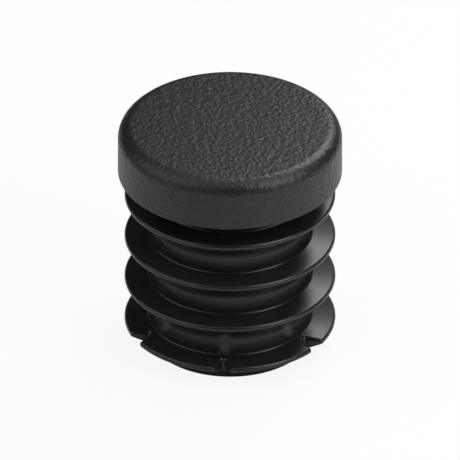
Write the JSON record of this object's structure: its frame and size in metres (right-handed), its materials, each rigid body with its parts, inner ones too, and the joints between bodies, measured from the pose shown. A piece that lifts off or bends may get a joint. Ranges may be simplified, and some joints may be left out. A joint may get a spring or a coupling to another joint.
{
  "type": "pipe plug",
  "caption": "Round ribbed plug for the open end of a tube: a grained head with a rounded edge over a hollow core with thin fins, the lowest one notched.",
  "frame": {"origin": "centre of the core's mouth, on the surface that the plug stands on", "axes": "+Z along the plug's axis towards the outer face of its head; +X half way between two notches of the lowest fin"},
  "size_m": [0.025, 0.025, 0.0274],
  "materials": {
    "black_plastic": "fine leather grain on the head, smooth satin on the core and fins"
  },
  "bodies": {
    "root": {"plug": "black_plastic"}
  },
  "joints": []
}
